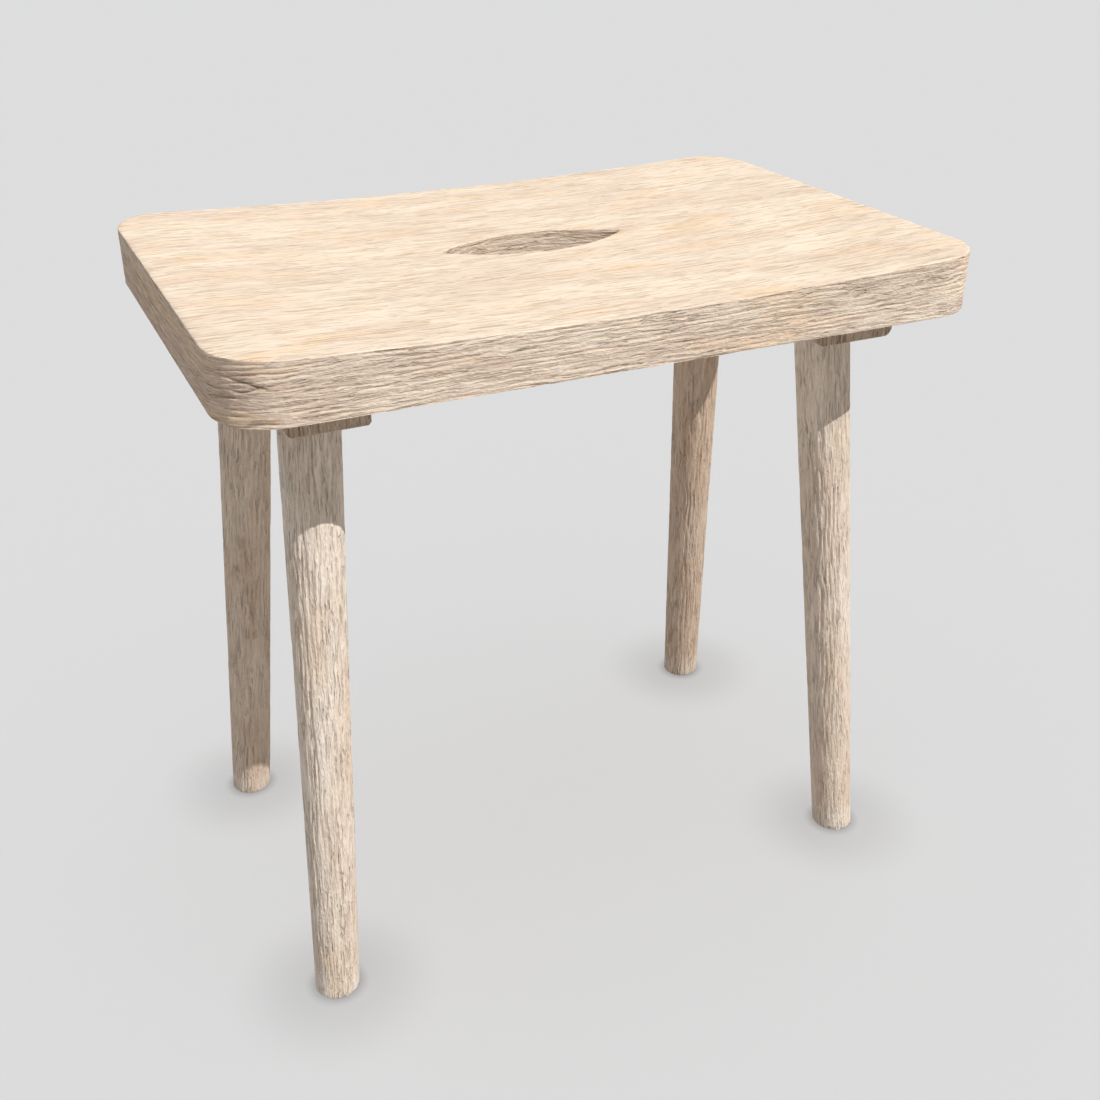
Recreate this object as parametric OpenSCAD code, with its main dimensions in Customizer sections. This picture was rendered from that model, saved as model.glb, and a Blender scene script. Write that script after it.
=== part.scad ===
// Four-legged milking stool: a thick plank seat with a hand slot, two battens
// pegged across its underside, and four splayed legs whose round tenons pass
// through the battens and are locked in blind mortises by fox wedges.
// Frame: origin on the floor below the middle of the seat, +X along the
// plank's grain, -Y towards the front, +Z up. Millimetres.

/* [Seat] */
// Length of the seat plank, along its grain
seat_length = 420; // [400:5:450]
// Width of the seat plank, front to back
seat_width = 280; // [270:5:310]
// Thickness of the seat plank at its ends
seat_thickness = 32.5; // [31:0.5:40]
// Height of the seat plank's top face above the floor
seat_height = 402; // [360:1:440]
// Radius of the plank's four corners, seen from above
corner_radius = 32; // [15:1:45]
// Depth of the hollow across the middle of the top face
dish_depth = 4.6; // [3:0.1:8]
// Length of the hollow, along the grain
dish_length = 380; // [340:5:395]

/* [Hand slot] */
// Length of the pointed hand slot
slot_length = 110; // [95:1:130]
// Width of the hand slot at its middle
slot_width = 40; // [34:1:50]

/* [Battens] */
// Width of the left batten
left_batten_width = 42; // [40:1:54]
// Width of the right batten
right_batten_width = 51; // [40:1:54]
// Thickness of both battens
batten_thickness = 21.5; // [18:0.5:26]
// Distance from the plank's long edge to the batten's end
batten_setback = 38; // [25:1:40]
// Rounding along the left batten's lower edges
left_batten_round = 2.5; // [1:0.5:4]
// Rounding along the right batten's lower edges
right_batten_round = 5; // [3:0.5:6]

/* [Legs] */
// Distance from the middle of the seat to a leg's axis, along X, at the seat's underside
leg_head_x = 152.5; // [145:0.5:160]
// The same distance along Y
leg_head_y = 66; // [62:0.5:72]
// Distance from the middle to a leg's axis, along X, at the floor
leg_foot_x = 177; // [165:0.5:185]
// The same distance along Y
leg_foot_y = 104.5; // [90:0.5:112]
// Leg diameter at the level of the seat's underside
leg_head_d = 33.5; // [31:0.5:36]
// Leg diameter at the floor
leg_foot_d = 26; // [24:0.5:29]
// Diameter of the round tenon on a leg's head
tenon_d = 25; // [22:0.5:26]
// Depth of the blind mortise in the seat plank
mortise_depth = 20; // [16:0.5:22]

/* [Wedges and pegs] */
// Length of the fox wedge driven into a tenon
wedge_length = 16; // [12:0.5:18]
// Thickness of the fox wedge at its thick end
wedge_thick = 3.6; // [3:0.1:4.5]
// Thickness of the fox wedge at its thin end
wedge_thin = 0.8; // [0.6:0.1:1.2]
// Diameter of the wooden pegs that hold a batten
peg_d = 8; // [7:0.5:9]
// Distance from the middle of a batten to each peg, along Y
peg_y = 32; // [26:1:38]
// Sideways stagger of the two pegs in a batten
peg_stagger = 6; // [3:0.5:8]
// Depth of a peg in the seat plank
peg_depth = 16; // [12:0.5:20]

/* [Hidden] */

glue_line = 0.05;      // gap all round a tenon, wedge or peg
end_space = 0.5;       // space beyond the end of a tenon or peg
kerf_extra = 2;        // saw cut left below the wedge's thin end
peg_proud = 0.5;       // how far a peg stands out of its batten
peg_tip = 3;           // length of a peg's chamfered tip
overcut = 10;          // how far a cutting shape passes the face it opens
round_fn = 96;
dish_fn = 1440;

under_seat = seat_height - seat_thickness;
under_batten = under_seat - batten_thickness;
batten_length = seat_width - 2 * batten_setback;

// Radius of the shallow cylinder that hollows the seat: chord and sagitta
dish_radius = (pow(dish_length / 2, 2) + pow(dish_depth, 2)) / (2 * dish_depth);
// Radius of the two arcs that bound the hand slot
slot_radius = (pow(slot_length / 2, 2) + pow(slot_width / 2, 2)) / slot_width;

// A leg's axis runs from the floor to the seat's underside and leans inwards
leg_run_x = leg_foot_x - leg_head_x;
leg_run_y = leg_foot_y - leg_head_y;
leg_axis_length = norm([leg_run_x, leg_run_y, under_seat]);
leg_stretch = leg_axis_length / under_seat; // length along the axis per height
leg_taper = (leg_head_d - leg_foot_d) / 2 / leg_axis_length;
tenon_end = (under_seat + mortise_depth) * leg_stretch;
tenon_start = under_batten * leg_stretch - overcut;

seat_wood = [0.91, 0.82, 0.69];
leg_wood = [0.83, 0.73, 0.61];
batten_wood = [0.66, 0.56, 0.46];
peg_wood = [0.72, 0.60, 0.47];

// Flat rectangle with four round corners, centred
module rounded_rectangle(length, width, radius) {
    square([length - 2 * radius, width], center = true);
    square([length, width - 2 * radius], center = true);
    for (x = [-1, 1], y = [-1, 1])
        translate([x * (length / 2 - radius), y * (width / 2 - radius)])
            circle(r = radius, $fn = round_fn);
}

// Puts a child whose Z axis is a leg's axis in its place; its origin is the
// middle of the foot, side is -1 for left and face is -1 for front
module on_leg_axis(side, face) {
    run = [-side * leg_run_x, -face * leg_run_y, under_seat] / leg_axis_length;
    translate([side * leg_foot_x, face * leg_foot_y, 0])
        rotate([-asin(run.y), atan2(run.x, run.z), 0])
            children();
}

// The hand slot: the lens where two upright cylinders overlap
module slot_cutter() {
    shift = slot_radius - slot_width / 2;
    intersection_for (y = [-1, 1])
        translate([0, y * shift, under_seat - overcut])
            cylinder(r = slot_radius, h = seat_thickness + 2 * overcut, $fn = 4 * round_fn);
}

// The hollow across the top face: a very large cylinder lying along Y
module dish_cutter() {
    translate([0, 0, seat_height - dish_depth + dish_radius])
        rotate([90, 0, 0])
            cylinder(r = dish_radius, h = seat_width + 2 * overcut, center = true, $fn = dish_fn);
}

// The slanting round mortise for one leg, through the batten and into the seat
module mortise_cutter(side, face) {
    on_leg_axis(side, face)
        translate([0, 0, tenon_start])
            cylinder(d = tenon_d + 2 * glue_line,
                     h = tenon_end + end_space - tenon_start, $fn = round_fn);
}

// Places a child on the axis of one peg, at the batten's underside
module on_peg_axis(side, face) {
    translate([side * leg_head_x + face * side * peg_stagger, face * peg_y, under_batten])
        children();
}

// The blind hole for one peg, through the batten and into the seat
module peg_hole_cutter(side, face) {
    on_peg_axis(side, face)
        translate([0, 0, -overcut])
            cylinder(d = peg_d + 2 * glue_line,
                     h = overcut + batten_thickness + peg_depth + end_space, $fn = round_fn);
}

module seat() {
    color(seat_wood)
        difference() {
            translate([0, 0, under_seat])
                linear_extrude(seat_thickness)
                    rounded_rectangle(seat_length, seat_width, corner_radius);
            dish_cutter();
            slot_cutter();
            for (side = [-1, 1], face = [-1, 1]) {
                mortise_cutter(side, face);
                peg_hole_cutter(side, face);
            }
        }
}

// Cross-section of a batten: square above, round at its two lower edges
module batten_section(width, edge_radius) {
    translate([-width / 2, edge_radius])
        square([width, batten_thickness - edge_radius]);
    translate([-width / 2 + edge_radius, 0])
        square([width - 2 * edge_radius, batten_thickness]);
    for (x = [-1, 1])
        translate([x * (width / 2 - edge_radius), edge_radius])
            circle(r = edge_radius, $fn = round_fn);
}

module batten(side, width, edge_radius) {
    color(batten_wood)
        difference() {
            translate([side * leg_head_x, batten_length / 2, under_batten])
                rotate([90, 0, 0])
                    linear_extrude(batten_length)
                        batten_section(width, edge_radius);
            for (face = [-1, 1]) {
                mortise_cutter(side, face);
                peg_hole_cutter(side, face);
            }
        }
}

// Tapered outline of a fox wedge with its thick end at the origin, grown by gap each side
module wedge_outline(gap) {
    thin = wedge_thin / 2 + gap;
    thick = wedge_thick / 2 + gap;
    polygon([[-thin, -wedge_length], [thin, -wedge_length], [thick, 0], [-thick, 0]]);
}

// Outline of the split that takes the wedge: the taper, the saw cut that started
// it, and its open mouth
module kerf_outline() {
    cut = wedge_thin + 2 * glue_line;
    mouth = wedge_thick + 2 * glue_line;
    wedge_outline(glue_line);
    translate([-cut / 2, -wedge_length - kerf_extra])
        square([cut, kerf_extra + wedge_length / 2]);
    translate([-mouth / 2, 0])
        square([mouth, overcut]);
}

// Stands an outline up at the end of the tenon and makes it wider than the tenon
module across_tenon() {
    translate([0, 0, tenon_end])
        rotate([90, 0, 0])
            linear_extrude(tenon_d + overcut, center = true)
                children();
}

// A tapered round leg, cut level at the foot and at the shoulder that bears on
// the batten, with a round tenon that is split for its wedge
module leg(side, face) {
    run_up = overcut;
    color(leg_wood)
        difference() {
            union() {
                intersection() {
                    on_leg_axis(side, face)
                        translate([0, 0, -run_up])
                            cylinder(h = leg_axis_length + run_up,
                                     r1 = leg_foot_d / 2 - run_up * leg_taper,
                                     r2 = leg_head_d / 2, $fn = round_fn);
                    translate([side * leg_head_x, face * leg_foot_y, under_batten / 2])
                        cube([4 * leg_head_d, 4 * leg_head_d, under_batten], center = true);
                }
                on_leg_axis(side, face)
                    translate([0, 0, tenon_start])
                        cylinder(d = tenon_d, h = tenon_end - tenon_start, $fn = round_fn);
            }
            on_leg_axis(side, face)
                across_tenon()
                    kerf_outline();
        }
}

module fox_wedge(side, face) {
    color(peg_wood)
        on_leg_axis(side, face)
            intersection() {
                across_tenon()
                    wedge_outline(0);
                translate([0, 0, tenon_start])
                    cylinder(d = tenon_d, h = tenon_end + overcut - tenon_start, $fn = round_fn);
            }
}

module peg(side, face) {
    shank = batten_thickness + peg_depth - peg_tip;
    color(peg_wood)
        on_peg_axis(side, face) {
            translate([0, 0, -peg_proud])
                cylinder(d = peg_d, h = shank + peg_proud, $fn = round_fn);
            translate([0, 0, shank])
                cylinder(d1 = peg_d, d2 = peg_d - peg_tip, h = peg_tip, $fn = round_fn);
        }
}

seat();

batten(-1, left_batten_width, left_batten_round);  // left_batten
batten(1, right_batten_width, right_batten_round);  // right_batten

leg(-1, -1);  // front_left_leg
leg(1, -1);  // front_right_leg
leg(-1, 1);  // back_left_leg
leg(1, 1);  // back_right_leg

fox_wedge(-1, -1);  // front_left_wedge
fox_wedge(1, -1);  // front_right_wedge
fox_wedge(-1, 1);  // back_left_wedge
fox_wedge(1, 1);  // back_right_wedge

peg(-1, -1);  // left_front_peg
peg(-1, 1);  // left_back_peg
peg(1, -1);  // right_front_peg
peg(1, 1);  // right_back_peg
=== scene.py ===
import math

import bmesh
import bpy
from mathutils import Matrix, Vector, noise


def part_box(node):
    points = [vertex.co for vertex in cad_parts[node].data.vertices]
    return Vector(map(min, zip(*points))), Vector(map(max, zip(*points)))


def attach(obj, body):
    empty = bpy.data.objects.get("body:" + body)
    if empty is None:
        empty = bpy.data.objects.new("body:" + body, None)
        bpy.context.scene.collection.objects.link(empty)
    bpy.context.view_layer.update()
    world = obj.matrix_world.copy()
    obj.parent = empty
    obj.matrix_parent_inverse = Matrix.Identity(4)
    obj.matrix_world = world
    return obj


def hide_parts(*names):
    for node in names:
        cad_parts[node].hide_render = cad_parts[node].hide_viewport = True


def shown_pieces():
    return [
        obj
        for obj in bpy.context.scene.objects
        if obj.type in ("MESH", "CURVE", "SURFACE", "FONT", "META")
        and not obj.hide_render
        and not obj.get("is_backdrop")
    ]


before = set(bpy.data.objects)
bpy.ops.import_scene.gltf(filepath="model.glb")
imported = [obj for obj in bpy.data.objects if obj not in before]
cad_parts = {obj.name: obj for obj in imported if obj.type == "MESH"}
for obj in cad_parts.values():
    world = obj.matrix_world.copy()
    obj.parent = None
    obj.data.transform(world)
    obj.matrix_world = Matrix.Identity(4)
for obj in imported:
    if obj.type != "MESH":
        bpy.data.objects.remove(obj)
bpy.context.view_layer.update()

# %% [markdown]
# # A milking stool
# The real stool is a thick plank with a hollowed top and a slot for the hand, two battens
# pegged below it, and four shaved legs that lean outwards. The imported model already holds
# its sizes and its joints. Here each visible piece is made again with tool marks, worn grain
# and softened edges, in exactly the same place, and gets a finish of old bare wood.

MM = 0.001
TOUCH = 0.01 * MM
print("frame holds", len(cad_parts), "pieces")

# %% [markdown]
# ## Measuring the frame
# A joiner takes sizes off the work with dividers. The same is done here: every size is read
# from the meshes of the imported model, so a change there is followed without a change here.

# %% Dividers
def corners_of(points):
    """Lowest and highest corner of the box round some points."""
    return Vector(map(min, *points)), Vector(map(max, *points))


def outline_at(node, height):
    """Middle and half size of a node's outline at one height."""
    ring = [v.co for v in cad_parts[node].data.vertices if abs(v.co.z - height) < TOUCH]
    low, high = corners_of(ring)
    return (low + high) / 2, (high - low) / 2


def arc_radius(half_chord, depth):
    """Radius of the circle whose arc is this deep over this half chord."""
    return (half_chord**2 + depth**2) / (2 * depth)


# %% [markdown]
# The plank's corner radius is where the straight end stops. The hollow is read on the front
# edge, from where it starts to its deepest point, and the slot from the points near the
# middle. Both are arcs, so two measures give each of them its radius.

# %% Sizes of the plank
seat_low, seat_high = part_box("seat")
seat_middle = (seat_low + seat_high) / 2
seat_points = [v.co.copy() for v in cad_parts["seat"].data.vertices]
under_seat = seat_low.z
under_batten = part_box("left_batten")[0].z
seat_thickness = seat_high.z - under_seat

corner_radius = seat_high.y - max(p.y for p in seat_points if seat_high.x - p.x < TOUCH)

rim = [p for p in seat_points if seat_high.z - p.z < TOUCH]
front_edge = [p for p in seat_points if p.y - seat_low.y < TOUCH and p.z > seat_middle.z]
dish_half = min(abs(p.x) for p in rim)
dish_depth = seat_high.z - min(p.z for p in front_edge)
dish_radius = arc_radius(dish_half, dish_depth)

near_middle = [p for p in seat_points if abs(p.x) < seat_high.x / 2 and abs(p.y) < seat_high.y / 2]
slot_half = corners_of(near_middle)[1]
slot_radius = arc_radius(slot_half.x, slot_half.y)
print(f"plank {2000 * seat_high.x:.0f} x {2000 * seat_high.y:.0f} x",
      f"{1000 * seat_thickness:.1f} mm, corners {1000 * corner_radius:.0f} mm,",
      f"hollow {1000 * dish_depth:.1f} mm,",
      f"slot {2000 * slot_half.x:.0f} x {2000 * slot_half.y:.0f} mm")

# %% [markdown]
# ## Working habits
# Operators act on whatever is selected, so each step starts by clearing the selection and
# naming what it works on. The helpers below do only that, and keep the later cells short.

# %% Selecting
def only(*objects):
    """Selects just these objects and makes the first one active."""
    if bpy.context.object and bpy.context.object.mode != "OBJECT":
        bpy.ops.object.mode_set(mode="OBJECT")
    bpy.ops.object.select_all(action="DESELECT")
    for o in objects:
        o.select_set(True)
    bpy.context.view_layer.objects.active = objects[0]


def edit(piece):
    only(piece)
    bpy.ops.object.mode_set(mode="EDIT")


def done(piece):
    bpy.ops.object.mode_set(mode="OBJECT")
    return piece


def pick(piece, kind, test):
    """In edit mode, selects the vertices, edges or faces for which test is true."""
    bpy.ops.mesh.select_mode(type=kind)
    bpy.ops.mesh.select_all(action="DESELECT")
    mesh = bmesh.from_edit_mesh(piece.data)
    mesh.normal_update()
    found = 0
    for part in {"VERT": mesh.verts, "EDGE": mesh.edges, "FACE": mesh.faces}[kind]:
        if test(part):
            part.select_set(True)
            found += 1
    mesh.select_flush_mode()
    bmesh.update_edit_mesh(piece.data)
    return found


# %% [markdown]
# Every piece starts as a cube, a cylinder or a cone, placed and sized where it belongs. Its
# place is put into its mesh at once, so each object sits at the origin, like the frame's.

# %% Blanks
def settle(name):
    """Names the object just added and puts its place and size into its mesh."""
    piece = bpy.context.object
    piece.name = piece.data.name = name
    bpy.ops.object.transform_apply(location=True, rotation=True, scale=True)
    return piece


def block(name, low, high):
    """A cube that fills the box between two corners."""
    bpy.ops.object.select_all(action="DESELECT")
    bpy.ops.mesh.primitive_cube_add(size=1, location=(low + high) / 2, scale=high - low)
    return settle(name)


def cylinder(name, start, end, radius, sides=96):
    """A cylinder between two points."""
    axis = end - start
    bpy.ops.object.select_all(action="DESELECT")
    bpy.ops.mesh.primitive_cylinder_add(
        vertices=sides, radius=radius, depth=axis.length, location=(start + end) / 2,
        rotation=axis.to_track_quat("Z", "Y").to_euler())
    return settle(name)


# %% [markdown]
# Bisect works like a marking gauge and cuts lines round a piece. A Boolean is the saw and
# the drill: the cutter is thrown away once its shape has been taken off or joined on.

# %% Gauge and saw
def even(low, high, step, offset=0.0):
    """Evenly spaced places strictly between low and high, about a step apart."""
    count = round((high - low) / step)
    return [low + (high - low) * (i + offset) / count for i in range(count) if i + offset > 0]


def rule(piece, axis, places, chosen=None):
    """Cuts straight lines round a piece, so that its surface has points to carve.
    chosen limits the lines to some faces."""
    normal = Vector((0, 0, 0))
    normal[axis] = 1
    edit(piece)
    for place in places:
        if chosen:
            pick(piece, "FACE", chosen)
        else:
            bpy.ops.mesh.select_all(action="SELECT")
        bpy.ops.mesh.bisect(plane_co=normal * place, plane_no=normal, threshold=TOUCH)
    done(piece)


def cut(piece, cutter, operation="DIFFERENCE"):
    """Cuts one solid with another, joins them or keeps what they share."""
    only(piece)
    tool = piece.modifiers.new("cut", "BOOLEAN")
    tool.operation = operation
    tool.solver = "EXACT"
    tool.object = cutter
    bpy.ops.object.modifier_apply(modifier=tool.name)
    bpy.data.objects.remove(cutter)
    return piece


# %% [markdown]
# ## Worn grain
# Softwood wears unevenly: the soft early wood goes first and leaves narrow furrows between
# the hard late layers. They follow the grain, sway a little, and fade in and out. A texture
# on a Displace modifier can't sway like that, so the depth at each point is worked out with
# Blender's noise. A spot is a point as the log had it: x runs along the grain, y across it
# and z through the layers.

# %% Noise in a log
def ramp(value, low, high):
    """0 below low, 1 above high and smooth between."""
    t = min(max((value - low) / (high - low), 0.0), 1.0)
    return t * t * (3 - 2 * t)


SLOW_SWING = 2.2 * MM


def grains(spot, along, across, through, which=0.0):
    """Noise from about -1 to 1 whose grains have these sizes. which tells patterns apart."""
    return noise.noise(Vector((spot.x / along, spot.y / across + which, spot.z / through)))


def wander(spot, which, wave=12 * MM, swing=1.3 * MM):
    """How far the grain strays sideways at a spot. wave is the length of its short waves
    and swing how far they go."""
    slow = grains(spot, 60 * MM, 40 * MM, 30 * MM, which)
    quick = grains(spot, wave, 10 * MM, 6 * MM, which)
    return SLOW_SWING * slow + swing * quick


# %% [markdown]
# On a plank and a bar the furrows lie one above the other on the edges, and are faint on the
# flat faces. A leg is split and shaved round, so its furrows run along it on all sides, and
# two sets of them cross here and there and make forks. FIRST, SECOND and FACES choose
# patterns of noise that have nothing to do with each other.

# %% Furrows
LAYER = 2.6 * MM
LINE_WIDTH = 0.20
FADED, FULL = -0.35, 0.20
FACE_DEPTH, FORK_DEPTH = 0.40, 0.80
FIRST, SECOND, FACES = 0, 9, 5
FACE_ROWS, LEAST = 300, 0.02
FURROWS_ROUND = 29
LEG_WAVE, LEG_SWING, LEG_RUN = 20 * MM, 2.0 * MM, 32 * MM


def groove(spot, layer, run=18 * MM, around=0):
    """Depth from 0 to 1 of the groove nearest to a layer number, which may be a fraction.
    run is about how long one groove is, and around is how many layers make a full turn,
    if they run round the piece."""
    number = round(layer)
    line = math.exp(-(((layer - number) / LINE_WIDTH) ** 2))
    row = number % around if around else number
    fade = noise.noise(Vector((spot.x / run, 0.3 * row, 7.31 * row)))
    return line * ramp(fade, FADED, FULL)


def layered(spot, normal):
    """Grooves of a sawn plank or bar, deep on its edges and faint on its flat faces. A
    pattern whose share would be under LEAST is left out."""
    flat = normal.z**2
    edges = faces = 0.0
    if flat < 1 - LEAST:
        edges = groove(spot, (spot.z + wander(spot, FIRST)) / LAYER)
    if flat > LEAST:
        faces = groove(spot, (spot.y + wander(spot, FACES)) / LAYER + FACE_ROWS)
    return edges * (1 - flat) + FACE_DEPTH * faces * flat


def shaved(spot, normal):
    """Grooves of a leg, all the way round it."""
    layer = FURROWS_ROUND * math.atan2(spot.z, spot.y) / math.tau
    first = layer + wander(spot, FIRST, LEG_WAVE, LEG_SWING) / LAYER
    second = layer + 0.5 + wander(spot, SECOND, LEG_WAVE, LEG_SWING) / LAYER
    return max(groove(spot, first, LEG_RUN, FURROWS_ROUND),
               FORK_DEPTH * groove(spot, second, LEG_RUN, FURROWS_ROUND))


# %% [markdown]
# The depth is written into a vertex group, and a Displace modifier then sinks the surface
# along its normals by that weight. Nothing rises, so no piece outgrows its size. The depth
# also stays in the mesh as "worn", for the dirt that the finish puts into the furrows.

# %% Carving
GROOVE_SHARE, FINE_SHARE, BROAD_SHARE = 0.62, 0.20, 0.18


def carve(piece, log_place, grooves, depth):
    """Sinks the surface by its wear. log_place turns a point and its normal into a spot in
    the log and a normal there, grooves gives the depth of the groove pattern at that spot,
    and depth is the greatest wear there in millimetres."""
    only(piece)
    group = piece.vertex_groups.new(name="wear")
    amounts = []
    for v in piece.data.vertices:
        spot, normal = log_place(v.co, v.normal)
        fine = 0.5 + 0.5 * grains(spot, 9 * MM, 1.6 * MM, 1.6 * MM)
        broad = 0.5 + 0.5 * grains(spot, 50 * MM, 22 * MM, 22 * MM)
        amount = GROOVE_SHARE * grooves(spot, normal) + FINE_SHARE * fine + BROAD_SHARE * broad
        amounts.append(amount)
        group.add([v.index], amount * depth(v.co, v.normal), "REPLACE")
    piece.data.attributes.new("worn", "FLOAT", "POINT").data.foreach_set("value", amounts)
    sink = piece.modifiers.new("sink", "DISPLACE")
    sink.vertex_group = group.name
    sink.strength = -MM
    sink.mid_level = 0.0
    bpy.ops.object.modifier_apply(modifier=sink.name)
    piece.vertex_groups.clear()
    print(piece.name, "carved,", len(amounts), "points")
    return piece


# %% [markdown]
# The finish must know how the grain runs in each piece, whichever way the piece now lies.
# Once all cuts are made, each corner of each face gets its place in the log and a tone.

# %% Marks for the finish
def mark(piece, log_place, tone):
    """Writes each face's place in the log and its tone into the mesh. Tone 1 is the wood
    as it is, less is darker and browner, more is paler. Tone also carries painted shade
    and painted light."""
    mesh = piece.data
    places, tones = [], []
    for face in mesh.polygons:
        shade = tone(face.center, face.normal)
        for corner in face.vertices:
            places.extend(log_place(mesh.vertices[corner].co, face.normal)[0])
            tones.append(shade)
    mesh.attributes.new("log", "FLOAT_VECTOR", "CORNER").data.foreach_set("vector", places)
    mesh.attributes.new("tone", "FLOAT", "CORNER").data.foreach_set("value", tones)
    print(piece.name, "marked,", len(mesh.polygons), "faces")


# %% [markdown]
# ## The seat
# The plank is sawn to size, its corners are rounded, and the slot is the lens where two
# round cuts overlap. It starts as a cube, its four upright edges are bevelled to the corner
# radius, and two cylinders make the cutter for the slot. One line along the middle first
# splits the flat faces, so that the slot doesn't leave long stray edges across them.

# %% Seat blank
CORNER_STEPS = 18
SLOT_SIDES = 160


def steep(edge):
    a, b = (v.co for v in edge.verts)
    return abs(a.z - b.z) > seat_thickness / 2


seat = block("seat_plank", seat_low, seat_high)
edit(seat)
pick(seat, "EDGE", steep)
bpy.ops.mesh.bevel(offset=corner_radius, segments=CORNER_STEPS, profile=0.5, affect="EDGES")
done(seat)
rule(seat, 1, [0.0])

rounds = []
for side in (-1, 1):
    centre = Vector((0, side * (slot_radius - slot_half.y), seat_middle.z))
    reach = Vector((0, 0, seat_thickness))
    rounds.append(cylinder("slot_round", centre - reach, centre + reach, slot_radius, SLOT_SIDES))
cut(seat, cut(rounds[0], rounds[1], "INTERSECT"))
print("seat blank:", len(seat.data.polygons), "faces")

# %% [markdown]
# A new plank has sharp edges that splinter, so they are eased with a stroke of the plane.
# Here that is a small bevel on every edge where an upright face meets the top or the
# underside, and round both mouths of the slot.

# %% Ease the rims
EASE = 0.9 * MM
SHARP = math.radians(45)


def sharp_rim(edge):
    """An edge of the top or the underside that meets an upright face."""
    level = all(min(abs(v.co.z - under_seat), abs(v.co.z - seat_high.z)) < TOUCH
                for v in edge.verts)
    return level and edge.calc_face_angle(0) > SHARP


edit(seat)
found = pick(seat, "EDGE", sharp_rim)
bpy.ops.mesh.bevel(offset=EASE, segments=2, affect="EDGES")
done(seat)
print(found, "rim edges eased")

# %% [markdown]
# Furrows are long and narrow, so the surface needs many lines across the grain's spacing and
# few along it. The top gets twice as many as the underside, because it is what is seen.

# %% Rule the plank
ALONG, ACROSS, UP = 4.4 * MM, 2.0 * MM, 0.54 * MM
LEVEL = 0.9

rule(seat, 1, even(seat_low.y, seat_high.y, ACROSS))
rule(seat, 1, even(seat_low.y, seat_high.y, ACROSS, 0.5), lambda face: face.normal.z > LEVEL)
rule(seat, 2, even(under_seat, seat_high.z, UP))
rule(seat, 0, even(seat_low.x, seat_high.x, ALONG))
print("seat ruled:", len(seat.data.polygons), "faces")

# %% [markdown]
# The top is worn hollow from end to end. It is the arc of a large circle, so each point
# sinks by the depth of that arc. Points lower down the edges sink less, and those of the
# underside don't move, which keeps the underside flat for the battens.

# %% Hollow the top
def hollow(x):
    """Depth of the hollow at a distance from the middle."""
    if abs(x) > dish_half:
        return 0.0
    return dish_depth - (dish_radius - math.sqrt(dish_radius**2 - x * x))


for v in seat.data.vertices:
    v.co.z -= hollow(v.co.x) * (v.co.z - under_seat) / seat_thickness
print(f"top hollowed by {1000 * hollow(0):.1f} mm")

# %% [markdown]
# The plank is sawn flat from the log. The top shows fibres that run from end to end. On the
# front and the back the layers lie one above the other, and on the ends they arch, as the
# rings of a trunk do. So on the upright faces the way across the grain hardly counts, and
# the layers are only bowed along it.

# %% The plank in its log
FACING = 0.7
ROUND_THE_EDGE = 0.06
RING_BOW = 9 * MM


def seat_log(co, normal):
    if abs(normal.z) > FACING:
        return Vector((co.x, co.y, math.copysign(LAYER, normal.z))), normal
    across = seat_low.y + ROUND_THE_EDGE * (co.y - seat_low.y)
    bow = RING_BOW * (1 - (co.y / seat_high.y) ** 2)
    return Vector((co.x, across, co.z - under_seat + bow)), normal


# %% [markdown]
# Two short drying checks open the front edge, where the wood shrank. Each is a fork whose
# arms run back from its tip, one straight and rising, the other nearly level and wavy.

# %% Drying checks
CHECK_DEPTH = 1.9
CHECK_WAVE, WAVE_NUMBER = 0.8 * MM, 9
CHECK_TIP, TIP_FULL, TAIL_FADES = -0.05, 0.08, 0.5
FACES_FRONT = -0.3
CHECKS = [(Vector((seat_low.x + 22 * MM, seat_high.z - 13.5 * MM)), 19 * MM, 7.5 * MM, 0.6 * MM),
          (Vector((seat_high.x - 80 * MM, seat_high.z - 12.0 * MM)), 14 * MM, 6.0 * MM, 0.9 * MM)]


def drying_check(spot, tip, length, rise, width):
    """Depth from 0 to 1 of a check with this tip, length, rise of its upper arm and width."""
    back = (tip.x - spot.x) / length
    if not CHECK_TIP < back < 1:
        return 0.0
    above = spot.z + under_seat - tip.y
    near = min(abs(above - rise * back), abs(above - CHECK_WAVE * math.sin(WAVE_NUMBER * back)))
    ends = ramp(back, CHECK_TIP, TIP_FULL) * (1 - ramp(back, TAIL_FADES, 1.0))
    return math.exp(-((near / width) ** 2)) * ends


def seat_grooves(spot, normal):
    checks = 0.0
    if normal.y < FACES_FRONT:
        checks = max(drying_check(spot, *check) for check in CHECKS)
    return layered(spot, normal) * (1 - checks) + CHECK_DEPTH * checks


# %% [markdown]
# The edges are worn most. The top is smooth from use, the slot is protected, and where a
# batten lies against it, the underside stays as it was planed.

# %% Carve the seat
EDGE_WEAR, TOP_WEAR, SLOT_WEAR, UNDER_WEAR = 0.90, 0.45, 0.40, 0.35
batten_boxes = [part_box("left_batten"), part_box("right_batten")]


def in_slot(co, normal):
    return abs(co.x) < slot_half.x and abs(co.y) < slot_half.y and abs(normal.z) < 0.5


def seat_depth(co, normal):
    """Greatest wear of the plank at a point, in millimetres."""
    if in_slot(co, normal):
        return SLOT_WEAR
    if normal.z > -0.5:
        return EDGE_WEAR + (TOP_WEAR - EDGE_WEAR) * max(normal.z, 0)
    covered = any(low.x < co.x < high.x and low.y < co.y < high.y for low, high in batten_boxes)
    return 0.0 if covered else UNDER_WEAR


carve(seat, seat_log, seat_grooves, seat_depth)

# %% [markdown]
# ## Where the legs run
# Each leg leans outwards both ways. Its axis goes through the middle of its outline at the
# floor and at the underside of the batten, and its radii and its tenon are measured there.

# %% Leg lines
CORNERS = ("front_left", "front_right", "back_left", "back_right")


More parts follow.
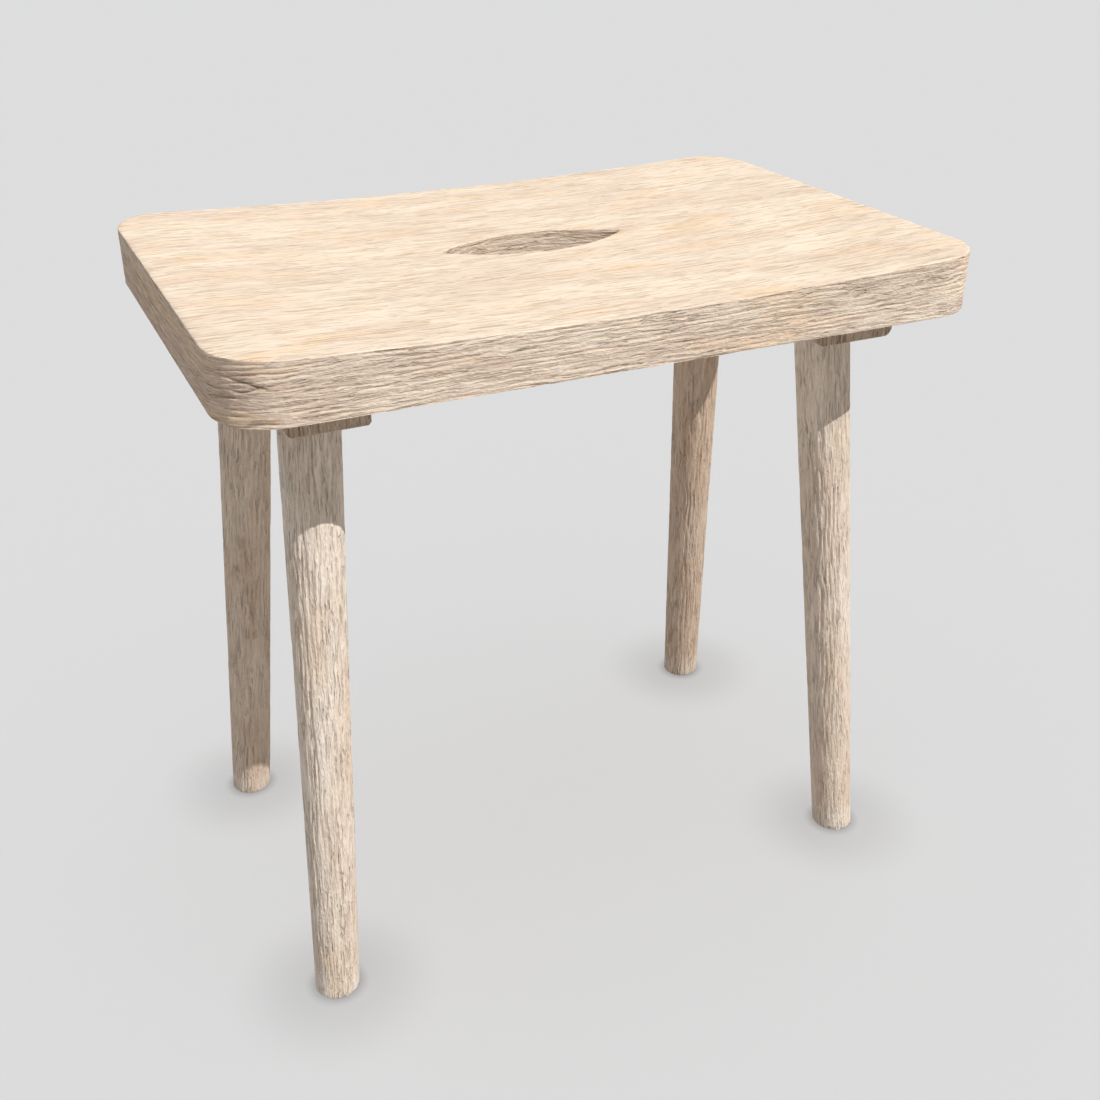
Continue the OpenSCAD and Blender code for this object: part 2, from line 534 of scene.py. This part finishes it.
class LegLine:
    """The axis and radii of one leg, measured on its node in the frame."""

    def __init__(self, corner):
        node = corner + "_leg"
        self.foot, foot_half = outline_at(node, 0.0)
        self.head, head_half = outline_at(node, under_batten)
        run = self.head - self.foot
        self.length = run.length
        self.axis = run / self.length
        slant = math.hypot(1, run.x / run.z)
        self.foot_radius = foot_half.x / slant
        self.head_radius = head_half.x / slant
        tenon = [v.co - self.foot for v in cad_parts[node].data.vertices
                 if v.co.z > under_batten + MM]
        self.reach = max(p.dot(self.axis) for p in tenon)
        self.tenon_radius = max((p - p.dot(self.axis) * self.axis).length for p in tenon)
        lean = self.axis.to_track_quat("Z", "Y").to_matrix().to_4x4()
        self.place = Matrix.Translation(self.foot) @ lean


legs = {corner: LegLine(corner) for corner in CORNERS}
for corner, line in legs.items():
    print(f"{corner}: {1000 * line.length:.0f} mm, {2000 * line.head_radius:.1f} to",
          f"{2000 * line.foot_radius:.1f} mm, tenon {2000 * line.tenon_radius:.1f} mm")

# %% [markdown]
# The battens and the seat are bored together: a slanting mortise for each leg and a hole
# for each peg. The drills are plain cylinders, a glue line wider than what goes in.

# %% Drills
GLUE = 0.05 * MM
BORE_START, PEG_START = 10 * MM, 5 * MM
pegs = [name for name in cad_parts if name.endswith("_peg")]


def hole_drills(lines, peg_names):
    """One cutter for the mortises of some legs and the holes of some pegs."""
    drills = []
    for line in lines:
        start = line.head - BORE_START * line.axis
        end = line.foot + (line.reach + GLUE) * line.axis
        drills.append(cylinder("drill", start, end, line.tenon_radius + GLUE))
    for name in peg_names:
        low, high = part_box(name)
        middle = (low + high) / 2
        start = Vector((middle.x, middle.y, under_batten - PEG_START))
        end = Vector((middle.x, middle.y, high.z + GLUE))
        drills.append(cylinder("drill", start, end, (high.x - low.x) / 2 + GLUE))
    only(*drills)
    bpy.ops.object.join()
    return bpy.context.object


print(len(legs), "mortises and", len(pegs), "peg holes to drill")

# %% [markdown]
# All the holes in the seat are blind and open on its underside. With the last cut made, the
# seat is marked for its finish. Its top is worn pale and painted lighter where the light
# falls on it, and its ends and the walls of its slot are painted darker as shade.

# %% Drill the seat
TOP_WORN_AND_PAINTED_LIGHT, END_PAINTED_SHADE, SLOT_PAINTED_SHADE = 0.30, 0.12, 0.97


# Painted light and shade by face: the top lighter, the ends and the slot walls darker.
def seat_tone(co, normal):
    if in_slot(co, normal):
        return SLOT_PAINTED_SHADE
    return 1.0 + TOP_WORN_AND_PAINTED_LIGHT * max(normal.z, 0) - END_PAINTED_SHADE * normal.x**2


cut(seat, hole_drills(legs.values(), pegs))
mark(seat, seat_log, seat_tone)
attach(seat, "root")
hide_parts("seat")

# %% [markdown]
# ## The battens
# Each batten is a flat bar with its lower edges rounded over by a plane. Its grain runs
# from front to back. A cube at full size gets its lower long edges bevelled by the width
# that the frame shows, all other edges are just eased, and it is ruled and carved as the
# seat is. A ring round each leg stays flat, so that the leg's shoulder meets it cleanly.

# %% Batten blank
BATTEN_STEP = 1.0 * MM
BATTEN_EASE = 0.6 * MM


def batten_blank(side):
    low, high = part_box(side + "_batten")
    points = [v.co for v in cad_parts[side + "_batten"].data.vertices]
    rounding = high.x - max(p.x for p in points if p.z - low.z < TOUCH)

    def lower_long(edge):
        a, b = (v.co for v in edge.verts)
        return abs(a.y - b.y) > MM and max(a.z, b.z) < low.z + TOUCH

    def still_sharp(edge):
        return edge.calc_face_angle(0) > SHARP and min(v.co.z for v in edge.verts) < high.z - TOUCH

    batten = block(side + "_batten_bar", low, high)
    edit(batten)
    pick(batten, "EDGE", lower_long)
    bpy.ops.mesh.bevel(offset=rounding, segments=6, affect="EDGES")
    pick(batten, "EDGE", still_sharp)
    bpy.ops.mesh.bevel(offset=BATTEN_EASE, segments=2, affect="EDGES")
    done(batten)
    rule(batten, 0, even(low.x, high.x, BATTEN_STEP))
    rule(batten, 2, even(low.z, high.z, BATTEN_STEP))
    rule(batten, 1, even(low.y, high.y, ALONG))
    print(f"{batten.name}: lower edges rounded by {1000 * rounding:.1f} mm")
    return batten


# %% [markdown]
# The grain of a batten crosses that of the seat. Its sawn ends show layers that stand
# upright, so there the log's length is read from below to above.

# %% Carve and fit the battens
BATTEN_WEAR = 0.5
SHOULDER_NEAR, SHOULDER_FAR = 0.5 * MM, 4 * MM


def make_batten(side, along_log):
    """along_log is where in the log the batten was cut, so that no two look alike."""
    low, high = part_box(side + "_batten")
    middle = (low + high) / 2
    near = [line for line in legs.values() if low.x < line.head.x < high.x]

    def log_place(co, normal):
        if abs(normal.y) > FACING:
            return Vector((co.z + along_log, 0, co.x)), Vector((1, 0, 0))
        turned = Vector((normal.y, normal.x, normal.z))
        return Vector((co.y + along_log, co.x - middle.x, co.z - middle.z)), turned

    def depth(co, normal):
        if normal.z > 0.5:
            return 0.0
        gap = min((co - line.head).length - line.head_radius for line in near)
        return BATTEN_WEAR * ramp(gap, SHOULDER_NEAR, SHOULDER_FAR)

    batten = carve(batten_blank(side), log_place, layered, depth)
    cut(batten, hole_drills(near, [name for name in pegs if name.startswith(side)]))
    mark(batten, log_place, lambda co, normal: 1.0)
    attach(batten, "root")
    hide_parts(side + "_batten")
    return batten


battens = [make_batten("left", 1.7), make_batten("right", 2.9)]

# %% [markdown]
# ## The legs
# A leg is shaved round by hand from a split billet and tapers to the foot. It starts as an
# upright cone, longer than needed at both ends, with rings to carve along.

# %% Leg blank
SIDES = 208
RINGS = 112
SPARE = 12 * MM


def leg_blank(corner, line):
    taper = (line.head_radius - line.foot_radius) / line.length
    bpy.ops.object.select_all(action="DESELECT")
    bpy.ops.mesh.primitive_cone_add(
        vertices=SIDES, radius1=line.foot_radius - SPARE * taper,
        radius2=line.head_radius + SPARE * taper, depth=line.length + 2 * SPARE,
        location=(0, 0, line.length / 2))
    leg = settle(corner + "_leg_turned")
    edit(leg)
    pick(leg, "EDGE", lambda edge: abs(edge.verts[0].co.z - edge.verts[1].co.z) > line.length)
    bpy.ops.mesh.subdivide(number_cuts=RINGS)
    return done(leg)


# %% [markdown]
# The carved cone is leaned over to the leg's line and then cut level at the floor and at
# the shoulder, as a chairmaker levels a stool. Bisect makes both cuts and fills them. The
# rim of the foot is rounded by wear: rings close above the floor are drawn in a little.

# %% Lean, level and ease
FOOT_RINGS = [(1.0 * MM, 1.0), (0.35 * MM, 0.985), (0.0, 0.95)]


def level_cut(leg, height, **sides):
    bpy.ops.mesh.select_all(action="SELECT")
    bpy.ops.mesh.bisect(plane_co=(0, 0, height), plane_no=(0, 0, 1), threshold=TOUCH, **sides)


def lean_and_level(leg, line):
    leg.matrix_world = line.place
    only(leg)
    bpy.ops.object.transform_apply(location=True, rotation=True, scale=True)
    edit(leg)
    level_cut(leg, 0.0, clear_inner=True, use_fill=True)
    level_cut(leg, under_batten, clear_outer=True, use_fill=True)
    for height, narrower in FOOT_RINGS:
        if height:
            level_cut(leg, height)
        pick(leg, "VERT", lambda v: abs(v.co.z - height) < TOUCH)
        centre = line.foot + Vector((0, 0, height))
        bpy.ops.transform.resize(value=(narrower, narrower, 0), center_override=centre)
    return done(leg)


# %% [markdown]
# A kerf is sawn into each tenon before it is driven home, and the wedge in it spreads the
# tenon as it bottoms in the mortise. The saw cut is made with a copy of the wedge from the
# frame, longer at both ends and a little thicker. That copy is loose triangles, so it is
# merged first.

# %% Kerf
KERF_EXTRA = 2.0 * MM
KERF_GAP = 0.2 * MM


def kerf_saw(corner, line):
    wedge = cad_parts[corner + "_wedge"]
    saw = wedge.copy()
    saw.data = wedge.data.copy()
    bpy.context.scene.collection.objects.link(saw)
    edit(saw)
    bpy.ops.mesh.select_all(action="SELECT")
    bpy.ops.mesh.remove_doubles(threshold=TOUCH)
    for end in (-1, 1):
        pick(saw, "FACE", lambda face: face.normal.dot(line.axis) * end > 0.9)
        bpy.ops.transform.translate(value=end * KERF_EXTRA * line.axis)
    done(saw)
    wider = saw.modifiers.new("wider", "DISPLACE")
    wider.strength = KERF_GAP
    wider.mid_level = 0.0
    bpy.ops.object.modifier_apply(modifier=wider.name)
    return saw


# %% [markdown]
# The furrows are shallow near the foot, where the leg is knocked and scuffed smooth, and
# the foot itself is scuffed pale and painted lighter where the light falls on it. Pairs of
# heights say where each of these starts and ends.
# The back legs are darker than the front ones, the back right one most.
# Each leg is turned in its log by another angle and cut from another place along it.

# %% Make the legs
LEG_WEAR = 1.35
FIRST_TURN, NEXT_TURN = 0.4, 1.1
FIRST_CUT, NEXT_CUT = 4.0, 0.9
LEG_TONES = {"front_left": 1.0, "front_right": 0.95, "back_left": 0.86, "back_right": 0.77}
FOOT_WEAR_SHARE, FOOT_TONE_SHARE, SCUFFED_AND_LIT = 0.5, 0.94, 0.12
FURROWED, CLEANED, FOOT = (20 * MM, 220 * MM), (60 * MM, 200 * MM), (8 * MM, 24 * MM)
TENON_ROOT = 5 * MM


def make_leg(corner, turn, along_log):
    line = legs[corner]
    spin = Matrix.Rotation(turn, 3, "Z")
    upright = line.place.inverted()

    def log_place(co, normal):
        across = spin @ co
        return Vector((co.z + along_log, across.y, across.x)), normal

    def depth(co, normal):
        return LEG_WEAR * (FOOT_WEAR_SHARE + (1 - FOOT_WEAR_SHARE) * ramp(co.z, *FURROWED))

    def tone(co, normal):
        clean = FOOT_TONE_SHARE + (1 - FOOT_TONE_SHARE) * ramp(co.z, *CLEANED)
        # The foot is painted paler: scuffed wood, and painted light where the light falls on it.
        return LEG_TONES[corner] * clean + SCUFFED_AND_LIT * (1 - ramp(co.z, *FOOT))

    leg = lean_and_level(carve(leg_blank(corner, line), log_place, shaved, depth), line)
    root, end = line.head - TENON_ROOT * line.axis, line.foot + line.reach * line.axis
    cut(leg, cylinder("tenon", root, end, line.tenon_radius), "UNION")
    cut(leg, kerf_saw(corner, line))
    mark(leg, lambda co, normal: log_place(upright @ co, normal), tone)
    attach(leg, "root")
    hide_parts(corner + "_leg")
    return leg


leg_pieces = [make_leg(corner, FIRST_TURN + NEXT_TURN * number, FIRST_CUT + NEXT_CUT * number)
              for number, corner in enumerate(CORNERS)]

# %% [markdown]
# ## Shader sums
# Wood needs many small sums between noise and masks. The class below wraps a socket, so
# that a sum is written as plain arithmetic and each sign adds one Math node.

# %% Sockets as numbers
class Value:
    """A shader socket that can be used in ordinary arithmetic."""

    def __init__(self, finish, socket):
        self.finish, self.socket = finish, socket

    def __add__(self, other):
        return self.finish.sum("ADD", self, other)

    def __sub__(self, other):
        return self.finish.sum("SUBTRACT", self, other)

    def __rsub__(self, other):
        return self.finish.sum("SUBTRACT", other, self)

    def __mul__(self, other):
        return self.finish.sum("MULTIPLY", self, other)

    __radd__, __rmul__ = __add__, __mul__


# %% [markdown]
# A finish is the set of nodes of one material. One method adds any node, and the others are
# short names for the few that are used again and again. Noise is measured in metres, by the
# size of its grains along and across the log.

# %% Finishes
class Finish:
    """The nodes of one material, or of the world."""

    def __init__(self, owner):
        owner.use_nodes = True
        self.owner = owner
        self.tree = owner.node_tree
        self.tree.nodes.clear()

    def node(self, kind, sockets=None, out=0, **settings):
        """Adds a node: first its settings, then the values or links of its sockets."""
        made = self.tree.nodes.new(kind)
        for name, setting in settings.items():
            setattr(made, name, setting)
        for key, value in (sockets or {}).items():
            if isinstance(value, Value):
                self.tree.links.new(value.socket, made.inputs[key])
            else:
                made.inputs[key].default_value = value
        return Value(self, made.outputs[out]) if made.outputs else made

    def noise(self, place, along, across, detail=2.0, rough=0.5, out=0):
        """Noise from 0 to 1, or a colour of three such noises if out is 1."""
        stretched = self.node("ShaderNodeVectorMath", {0: place, 1: (along, across, across)},
                              operation="DIVIDE")
        return self.node("ShaderNodeTexNoise", {
            "Vector": stretched, "Scale": 1.0, "Detail": detail, "Roughness": rough}, out=out)

    def sum(self, operation, *values):
        return self.node("ShaderNodeMath", dict(enumerate(values)), operation=operation)

    def step(self, value, low, high):
        """0 below low, 1 above high and smooth between."""
        return self.node("ShaderNodeMapRange", {0: value, 1: low, 2: high},
                         interpolation_type="SMOOTHSTEP")

    def mix(self, factor, one, other):
        """A colour between two colours."""
        return self.node("ShaderNodeMix", {0: factor, 6: one, 7: other}, out=2, data_type="RGBA")


def paint(red, green, blue):
    """A colour as picked on a screen, made linear for the shader."""
    def linear(c):
        c /= 255
        return c / 12.92 if c <= 0.04045 else ((c + 0.055) / 1.055) ** 2.4
    return (linear(red), linear(green), linear(blue), 1.0)


# %% [markdown]
# ## Old bare wood
# The stool has never been varnished. Its wood is pale and chalky where it is worn, honey
# coloured in long patches, and brown with old dirt in the furrows and in the open pores,
# which show as short dark dashes. Light and shade are painted in as well: the top and the
# feet are paler, partly worn and partly painted light, and the seat's ends and its slot are
# darker as painted shade. Every pattern is stretched along the grain of the log that the
# piece was cut from, and strays a little sideways as real grain does.

# %% Patterns in the wood
def grain_patterns(finish, place):
    """The noises that the wood is painted with, by name."""
    stray = finish.noise(place, 14 * MM, 6 * MM, detail=1.0, out=1)
    grain = finish.node("ShaderNodeVectorMath", {0: stray, 1: (0.0, 2.6 * MM, 2.6 * MM), 2: place},
                        operation="MULTIPLY_ADD")
    return {
        "clouds": finish.noise(place, 110 * MM, 28 * MM),
        "patches": finish.noise(grain, 70 * MM, 18 * MM, 4.0, 0.65),
        "streaks": finish.noise(grain, 42 * MM, 3.0 * MM, 3.0, 0.6),
        "fibres": finish.noise(grain, 16 * MM, 0.8 * MM, 2.0, 0.6),
        "fields": finish.noise(place, 30 * MM, 12 * MM),
        "pores": finish.noise(grain, 15 * MM, 1.3 * MM, 1.0),
        "lines": finish.noise(grain, 28 * MM, 0.9 * MM, 1.0),
        "pits": finish.noise(place, 2.4 * MM, 1.1 * MM, 1.0)}


# %% [markdown]
# The paints go on from broad to fine, as one mix over another. The masks say where: the
# furrows and the checks come from the carving, and "side" is 0 where the top is worn pale
# and painted lighter, so that the top shows fine lines and the edges show dirt. A tone
# below 1 darkens the blue most and the red least, which turns the wood brown; on the
# seat's ends and in its slot that is painted shade. Bump adds only what is finer than the
# mesh: fibres, pores and pits.

# %% Wood
RELIEF = 0.8 * MM
GREEN_FADES, BLUE_FADES = 1.4, 1.75
MATT, POLISH, SHEEN = 0.92, 0.14, 0.25


def wood(name, ground, honey, chalk, lines, dirt, pores, bold=1.0, place=None):
    """Old bare wood in six paints. bold is how strongly the patterns show. Without a place
    the marks in the mesh are read."""
    finish = Finish(bpy.data.materials.new(name))
    worn, tone = 0.3, 1.0
    if place is None:
        place = finish.node("ShaderNodeAttribute", out=1, attribute_name="log")
        worn = finish.node("ShaderNodeAttribute", out=2, attribute_name="worn")
        tone = finish.node("ShaderNodeAttribute", out=2, attribute_name="tone")
    else:
        place = place(finish)
    see = grain_patterns(finish, place)

    worn_pale_and_lit = finish.sum("MAXIMUM", finish.sum("SUBTRACT", tone, 1.0), 0.0)
    side = 1.0 - finish.step(worn_pale_and_lit, 0.0, 0.35)
    streaked = finish.step(see["streaks"], 0.46, 0.68) * 0.60 * bold
    fibrous = (1.0 - finish.step(see["fibres"], 0.30, 0.60)) * 0.30 * bold
    clouded = finish.step(see["clouds"], 0.40, 0.68) * 0.45
    patched = finish.step(see["patches"] + see["fibres"] * 0.15, 0.58, 0.76) * 0.65
    dirty = finish.step(worn, 0.34, 0.70) * (side * 0.22 + 0.10) * bold
    open_pores = finish.step(see["pores"], 0.57, 0.67) * finish.step(see["fields"], 0.36, 0.56)
    checked = finish.step(worn, 0.95, 1.20) * 0.60
    lined = finish.step(see["lines"], 0.52, 0.67)
    pitted = finish.step(see["pits"], 0.58, 0.68) * side * 0.45 * bold

    colour = finish.mix(streaked, ground, chalk)
    colour = finish.mix(fibrous, colour, dirt)
    # Wear and painted light: where the tone is above 1, the top and the feet go paler.
    colour = finish.mix(worn_pale_and_lit, colour, chalk)
    colour = finish.mix(clouded, colour, chalk)
    colour = finish.mix(patched, colour, honey)
    colour = finish.mix(dirty, colour, dirt)
    colour = finish.mix(open_pores * (side * 0.18 + 0.12) * bold, colour, pores)
    colour = finish.mix(checked, colour, pores)
    colour = finish.mix(lined * (0.85 - side * 0.60) * bold, colour, lines)
    colour = finish.mix(pitted, colour, chalk)

    # A tone below 1 darkens the wood and turns it browner; on the seat's ends and in its slot this
    # is painted shade.
    dark = finish.sum("MINIMUM", tone, 1.0)
    browner = finish.node("ShaderNodeCombineXYZ", {
        0: dark, 1: finish.sum("POWER", dark, GREEN_FADES),
        2: finish.sum("POWER", dark, BLUE_FADES)})
    colour = finish.node("ShaderNodeVectorMath", {0: colour, 1: browner}, operation="MULTIPLY")

    height = see["fibres"] * 0.5 + see["streaks"] * 0.4 + see["pits"] * 0.7
    height = (height - open_pores * 0.9 - lined * 0.4) * (side * 0.75 + 0.25)
    bump = finish.node("ShaderNodeBump", {"Distance": RELIEF, "Height": height})
    surface = finish.node("ShaderNodeBsdfPrincipled", {
        "Base Color": colour, "Roughness": MATT - finish.step(see["streaks"], 0.4, 0.8) * POLISH,
        "Specular IOR Level": SHEEN, "Normal": bump})
    finish.node("ShaderNodeOutputMaterial", {"Surface": surface})
    print(name, "mixed from", len(finish.tree.nodes), "nodes")
    return finish.owner


# %% [markdown]
# The seat, the legs and the battens differ in their paints. The legs are the palest and
# plainest, and the battens, which nobody touches, have stayed brown and strongly marked.

# %% Woods and where they go
SEAT_WOOD = wood("seat_bare_wood", bold=0.84, ground=paint(215, 193, 174),
                 honey=paint(231, 202, 168), chalk=paint(244, 230, 209),
                 lines=paint(186, 157, 126), dirt=paint(161, 130, 108), pores=paint(112, 86, 66))
LEG_WOOD = wood("leg_bare_wood", bold=0.62, ground=paint(232, 215, 197),
                honey=paint(225, 201, 176), chalk=paint(252, 242, 229),
                lines=paint(207, 185, 162), dirt=paint(186, 160, 136), pores=paint(140, 114, 92))
BATTEN_WOOD = wood("batten_bare_wood", bold=1.6, ground=paint(186, 164, 142),
                   honey=paint(184, 156, 130), chalk=paint(206, 188, 168),
                   lines=paint(142, 118, 96), dirt=paint(126, 102, 82), pores=paint(80, 60, 46))
FACET_ANGLE = math.radians(50)


def dress(piece, material):
    """Gives a piece one material and smooth shading between its small facets."""
    piece.data.materials.clear()
    piece.data.materials.append(material)
    only(piece)
    bpy.ops.object.shade_smooth_by_angle(angle=FACET_ANGLE)


dress(seat, SEAT_WOOD)
for batten in battens:
    dress(batten, BATTEN_WOOD)
for leg in leg_pieces:
    dress(leg, LEG_WOOD)

# %% [markdown]
# ## Pegs and wedges
# The whittled pegs and the wedges inside the tenons have the right shape in the frame
# already. They stay as they are and get a finish whose grain runs up the peg. Their meshes
# carry no marks, so the pattern reads the object's own coordinates, turned on end.

# %% Peg wood
def upright_place(finish):
    own = finish.node("ShaderNodeTexCoord", out=3)
    return finish.node("ShaderNodeMapping", {"Vector": own, "Rotation": (0, math.pi / 2, 0)})


PEG_WOOD = wood("peg_bare_wood", ground=paint(176, 150, 120), honey=paint(170, 138, 106),
                chalk=paint(196, 174, 146), lines=paint(136, 110, 86), dirt=paint(126, 102, 80),
                pores=paint(96, 76, 58), place=upright_place)
small_pieces = [piece for name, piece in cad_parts.items()
                if name.endswith(("_peg", "_wedge"))]
for piece in small_pieces:
    piece.data.materials.clear()
    piece.data.materials.append(PEG_WOOD)
print(len(small_pieces), "pegs and wedges finished")

# %% [markdown]
# ## Floor
# The floor is a wide pale plane. Round each foot a contact shadow is painted into its
# colour twice: in a narrow ring where the foot meets it, and softly out to a few
# centimetres, where the leg keeps light away. The shadow is painted because the floor's
# light casts none.

# %% Floor
FLOOR_SIZE = 60.0
FLOOR_ALBEDO = 0.40
COOL = 1.005
DARKEST, CLOSE_GAIN, AROUND_GAIN = 0.58, 0.26, 0.16
CLOSE, AROUND = (11 * MM, 20 * MM), (12 * MM, 70 * MM)

bpy.ops.object.select_all(action="DESELECT")
bpy.ops.mesh.primitive_plane_add(size=FLOOR_SIZE)
floor = settle("floor")
floor_with_painted_shadows = Finish(bpy.data.materials.new("floor_paint_and_shadows"))
spot = floor_with_painted_shadows.node("ShaderNodeTexCoord", out=3)
shade = 1.0
# Painted contact shadow: the floor's colour darkens close round each foot.
for line in legs.values():
    gap = floor_with_painted_shadows.node("ShaderNodeVectorMath", {0: spot, 1: line.foot}, out=1,
                            operation="DISTANCE")
    close = floor_with_painted_shadows.step(gap, *CLOSE)
    around = floor_with_painted_shadows.step(gap, *AROUND)
    shade = shade * (DARKEST + CLOSE_GAIN * close + AROUND_GAIN * around)
floor_colour = floor_with_painted_shadows.node("ShaderNodeVectorMath", {
    0: (FLOOR_ALBEDO, FLOOR_ALBEDO, FLOOR_ALBEDO * COOL), "Scale": shade}, operation="SCALE")
floor_with_painted_shadows.node("ShaderNodeOutputMaterial", {
    "Surface": floor_with_painted_shadows.node("ShaderNodeBsdfDiffuse", {"Color": floor_colour})})
floor.data.materials.append(floor_with_painted_shadows.owner)
floor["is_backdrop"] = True
print("floor", FLOOR_SIZE, "m wide")

# %% [markdown]
# ## Studio light
# The background is the same pale grey as the floor. What lights the stool is another sky,
# bright overhead and dim at the horizon, which only the camera doesn't see.

# %% Sky
PALE = 0.723
SKY_LOW, SKY_HIGH = 0.06, 1.15

world = bpy.data.worlds.new("studio")
bpy.context.scene.world = world
sky = Finish(world)
direction = sky.node("ShaderNodeTexCoord", out=0)
height = sky.node("ShaderNodeSeparateXYZ", {0: direction}, out=2)
lighting = sky.node("ShaderNodeBackground", {"Strength": height * height * SKY_HIGH + SKY_LOW})
backdrop = sky.node("ShaderNodeBackground", {"Color": (PALE, PALE, PALE * COOL, 1)})
seen = sky.node("ShaderNodeLightPath", out=0)
sky.node("ShaderNodeOutputWorld", {
    "Surface": sky.node("ShaderNodeMixShader", {0: seen, 1: lighting, 2: backdrop})})
print("sky from", SKY_LOW, "to", SKY_LOW + SKY_HIGH)

# %% [markdown]
# One hard key light from the front right makes the clean shadow lines on the legs. It
# lights the stool only, so that the floor stays plain, and a second light fills the floor.

# %% Lights
KEY_AZIMUTH, KEY_HEIGHT, KEY_STRENGTH = 32.3, 51.9, 3.3
KEY_SOFTNESS = math.radians(0.3)
WASH_STRENGTH = 4.1


def round_the_stool(azimuth, elevation):
    """A direction from the stool, azimuth 0 being straight in front of it."""
    a, e = math.radians(azimuth), math.radians(elevation)
    return Vector((math.sin(a) * math.cos(e), -math.cos(a) * math.cos(e), math.sin(e)))


def sunlight(name, direction, strength, lit):
    """A distant light that falls on some objects only."""
    lamp = bpy.data.objects.new(name, bpy.data.lights.new(name, "SUN"))
    bpy.context.scene.collection.objects.link(lamp)
    lamp.rotation_euler = direction.to_track_quat("Z", "Y").to_euler()
    lamp.data.energy = strength
    receivers = bpy.data.collections.new(name + "_falls_on")
    for o in lit:
        receivers.objects.link(o)
    lamp.light_linking.receiver_collection = receivers
    return lamp


key = sunlight("key", round_the_stool(KEY_AZIMUTH, KEY_HEIGHT), KEY_STRENGTH, list(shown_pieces()))
key.data.angle = KEY_SOFTNESS
wash = sunlight("floor_wash", Vector((0, 0, 1)), WASH_STRENGTH, [floor])
wash.data.use_shadow = False
print("key light", KEY_AZIMUTH, "degrees round and", KEY_HEIGHT, "degrees up")

# %% [markdown]
# ## Camera
# The camera looks down at the stool from the front left, from twice the seat's length, and
# aims close to the middle of the stool. Colours are shown as they are mixed.

# %% Camera
VIEW_AZIMUTH, VIEW_HEIGHT = -25.04, 28.29
VIEW_DISTANCE = 4 * seat_high.x
VIEW_ANGLE = math.radians(45)
view_target = Vector((8 * MM, -6 * MM, seat_high.z / 2))

camera = bpy.data.objects.new("camera", bpy.data.cameras.new("camera"))
bpy.context.scene.collection.objects.link(camera)
camera.data.angle = VIEW_ANGLE
towards = round_the_stool(VIEW_AZIMUTH, VIEW_HEIGHT)
camera.location = view_target + VIEW_DISTANCE * towards
camera.rotation_euler = (-towards).to_track_quat("-Z", "Y").to_euler()
bpy.context.scene.camera = camera
bpy.context.scene.view_settings.view_transform = "Standard"
print("camera at", [round(c, 3) for c in camera.location])
